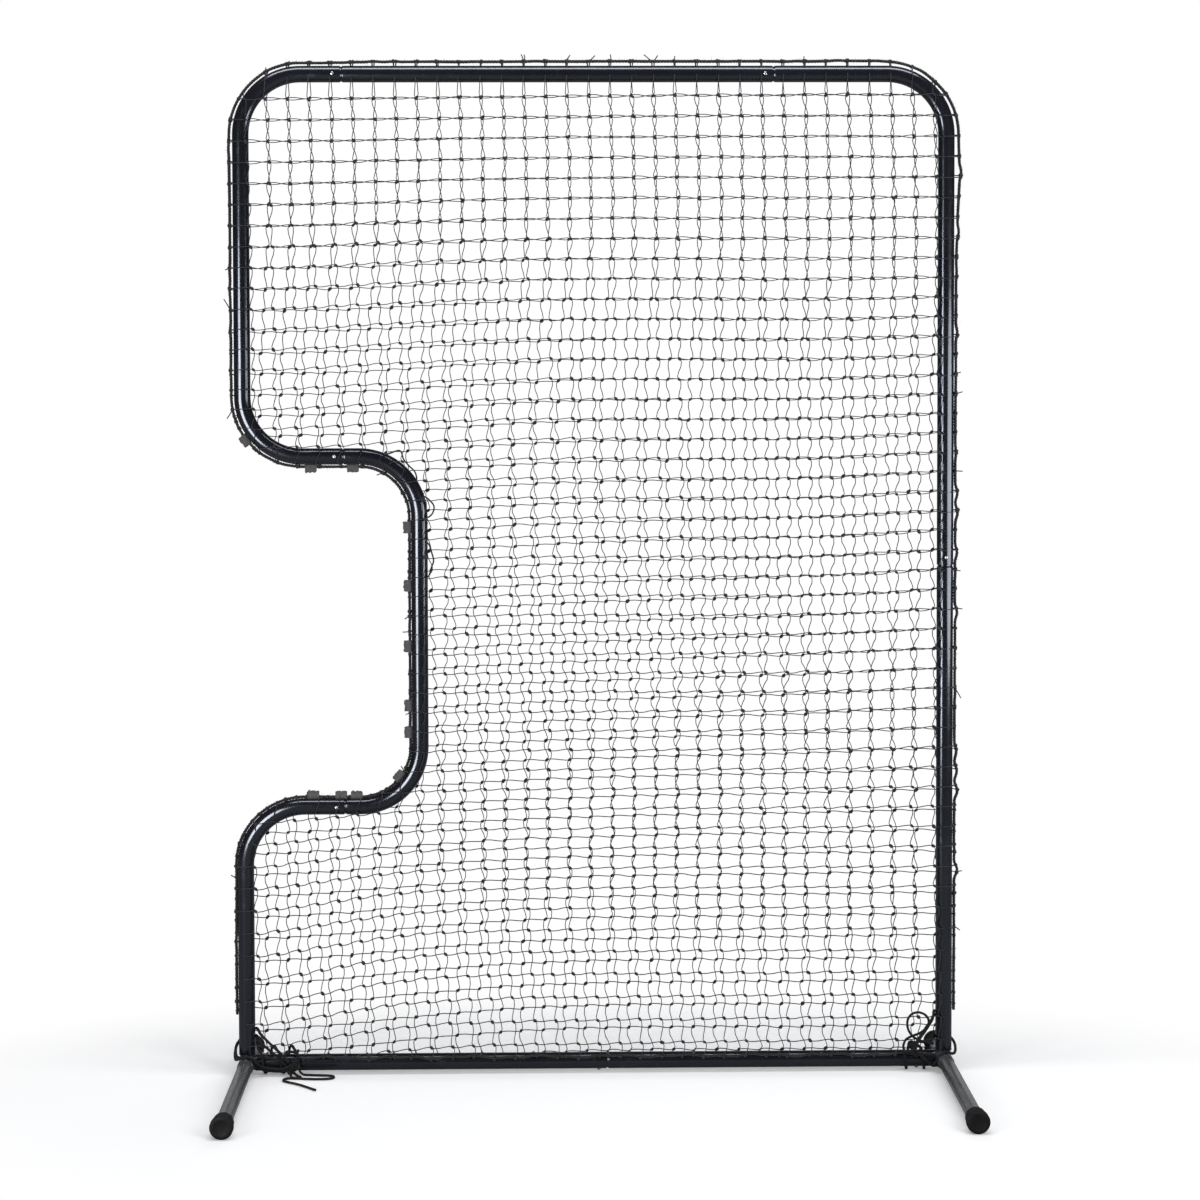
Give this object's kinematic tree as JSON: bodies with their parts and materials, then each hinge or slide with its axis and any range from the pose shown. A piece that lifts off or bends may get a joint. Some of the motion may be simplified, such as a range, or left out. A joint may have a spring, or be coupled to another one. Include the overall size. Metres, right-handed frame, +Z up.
{
  "type": "pitching screen",
  "caption": "Free-standing tubular frame with a square cut-out on one side, covered by a double layer of knotted net, on a pair of cross feet with rubber caps.",
  "frame": {"origin": "on the floor, midway between the uprights and midway between the front and rear ends of the feet, 179 mm in front of the frame's own plane", "axes": "+Z up, the pitcher's side faces -Y, the cut-out is on the -X side"},
  "size_m": [1.5422, 0.658, 2.1493],
  "materials": {
    "black_tube": "gloss black enamel on drawn steel tube",
    "foot_tube": "satin dark grey enamel on drawn steel tube",
    "cap_rubber": "matt moulded rubber",
    "zinc_button": "bright zinc plate",
    "spring_steel": "blued spring steel",
    "net_twine": "twisted and tarred synthetic twine",
    "border_rope": "fuzzy twisted synthetic rope",
    "hook_tape": "woven hook-and-loop tape",
    "tie_cord": "braided synthetic cord"
  },
  "bodies": {
    "screen": {"upper_left_tube": "black_tube", "top_rail_tube": "black_tube", "upper_right_tube": "black_tube", "lower_right_tube": "black_tube", "cutout_tube": "black_tube", "lower_left_tube": "black_tube", "bottom_rail_left": "black_tube", "bottom_rail_right": "black_tube", "left_foot_bracket": "foot_tube", "right_foot_bracket": "foot_tube", "left_leg": "foot_tube", "right_leg": "foot_tube", "left_front_cap": "cap_rubber", "left_rear_cap": "cap_rubber", "right_front_cap": "cap_rubber", "right_rear_cap": "cap_rubber", "top_left_spring": "spring_steel", "top_right_spring": "spring_steel", "cutout_upper_spring": "spring_steel", "cutout_lower_spring": "spring_steel", "right_side_spring": "spring_steel", "rail_centre_spring": "spring_steel", "left_upright_spring": "spring_steel", "right_upright_spring": "spring_steel", "rail_left_spring": "spring_steel", "rail_right_spring": "spring_steel", "left_leg_spring": "spring_steel", "right_leg_spring": "spring_steel", "net_front": "net_twine", "net_back": "net_twine", "border_rope": "border_rope", "bottom_rope": "border_rope", "net_tab_01": "hook_tape", "net_tab_02": "hook_tape", "net_tab_03": "hook_tape", "net_tab_04": "hook_tape", "net_tab_05": "hook_tape", "net_tab_06": "hook_tape", "net_tab_07": "hook_tape", "net_tab_08": "hook_tape", "net_tab_09": "hook_tape", "net_tab_10": "hook_tape", "net_tab_11": "hook_tape", "net_tab_12": "hook_tape", "left_tie": "tie_cord", "right_tie": "tie_cord", "left_tie_bow": "tie_cord", "right_tie_bow": "tie_cord"},
    "top_left_pin": {"top_left_button": "zinc_button"},
    "top_right_pin": {"top_right_button": "zinc_button"},
    "cutout_upper_pin": {"cutout_upper_button": "zinc_button"},
    "cutout_lower_pin": {"cutout_lower_button": "zinc_button"},
    "right_side_pin": {"right_side_button": "zinc_button"},
    "rail_centre_pin": {"rail_centre_button": "zinc_button"},
    "left_upright_pin": {"left_upright_button": "zinc_button"},
    "right_upright_pin": {"right_upright_button": "zinc_button"},
    "rail_left_pin": {"rail_left_button": "zinc_button"},
    "rail_right_pin": {"rail_right_button": "zinc_button"},
    "left_leg_pin": {"left_leg_button": "zinc_button"},
    "right_leg_pin": {"right_leg_button": "zinc_button"}
  },
  "joints": [
    {"name": "top_left_press", "type": "slide", "parent": "screen", "child": "top_left_pin", "axis": [0, 1, 0], "range_m": [0, 0.0055], "stiffness_N_per_m": 1500},
    {"name": "top_right_press", "type": "slide", "parent": "screen", "child": "top_right_pin", "axis": [0, 1, 0], "range_m": [0, 0.0055], "stiffness_N_per_m": 1500},
    {"name": "cutout_upper_press", "type": "slide", "parent": "screen", "child": "cutout_upper_pin", "axis": [0, 1, 0], "range_m": [0, 0.0055], "stiffness_N_per_m": 1500},
    {"name": "cutout_lower_press", "type": "slide", "parent": "screen", "child": "cutout_lower_pin", "axis": [0, 1, 0], "range_m": [0, 0.0055], "stiffness_N_per_m": 1500},
    {"name": "right_side_press", "type": "slide", "parent": "screen", "child": "right_side_pin", "axis": [0, 1, 0], "range_m": [0, 0.0055], "stiffness_N_per_m": 1500},
    {"name": "rail_centre_press", "type": "slide", "parent": "screen", "child": "rail_centre_pin", "axis": [0, 0, 1], "range_m": [0, 0.0055], "stiffness_N_per_m": 1500},
    {"name": "left_upright_press", "type": "slide", "parent": "screen", "child": "left_upright_pin", "axis": [0, -1, 0], "range_m": [0, 0.0055], "stiffness_N_per_m": 1500},
    {"name": "right_upright_press", "type": "slide", "parent": "screen", "child": "right_upright_pin", "axis": [0, -1, 0], "range_m": [0, 0.0055], "stiffness_N_per_m": 1500},
    {"name": "rail_left_press", "type": "slide", "parent": "screen", "child": "rail_left_pin", "axis": [0, 0, 1], "range_m": [0, 0.0055], "stiffness_N_per_m": 1500},
    {"name": "rail_right_press", "type": "slide", "parent": "screen", "child": "rail_right_pin", "axis": [0, 0, 1], "range_m": [0, 0.0055], "stiffness_N_per_m": 1500},
    {"name": "left_leg_press", "type": "slide", "parent": "screen", "child": "left_leg_pin", "axis": [0, 0, -1], "range_m": [0, 0.0055], "stiffness_N_per_m": 1500},
    {"name": "right_leg_press", "type": "slide", "parent": "screen", "child": "right_leg_pin", "axis": [0, 0, -1], "range_m": [0, 0.0055], "stiffness_N_per_m": 1500}
  ]
}
